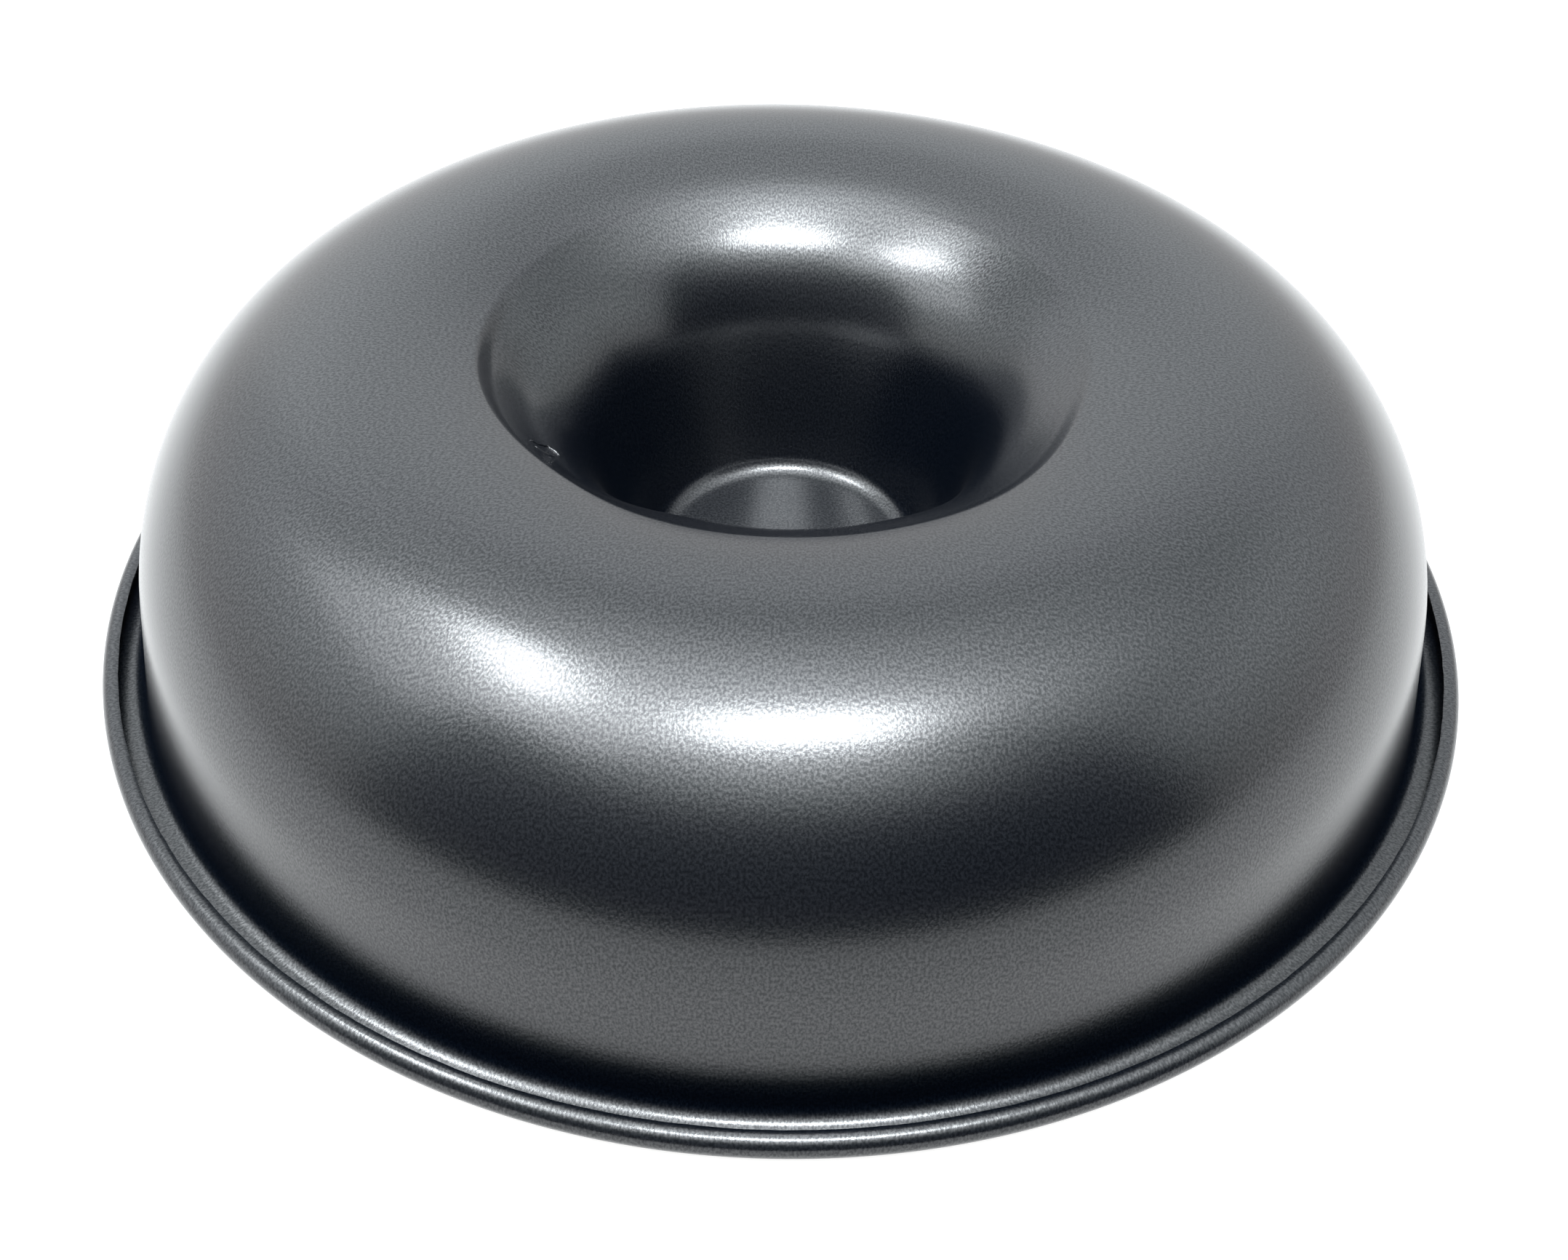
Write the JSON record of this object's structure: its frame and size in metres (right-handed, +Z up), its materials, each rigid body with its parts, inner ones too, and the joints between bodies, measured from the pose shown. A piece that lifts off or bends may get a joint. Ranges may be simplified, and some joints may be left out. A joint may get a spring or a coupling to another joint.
{
  "type": "tube cake pan",
  "caption": "Ring-shaped cake pan pressed from one coated steel sheet, with a closed central tube and a rolled rim, lying upside down on the rim.",
  "frame": {"origin": "centre of the rim on the plane that the rolled rim rests on", "axes": "+Z up along the axis of the ring, from the open side at the rim to the crest; X and Y are any two level directions at right angles"},
  "size_m": [0.24, 0.24, 0.054],
  "materials": {
    "coated_steel": "satin metallic dark grey non-stick coating with a fine sparkle"
  },
  "bodies": {
    "root": {"pan": "coated_steel"}
  },
  "joints": []
}
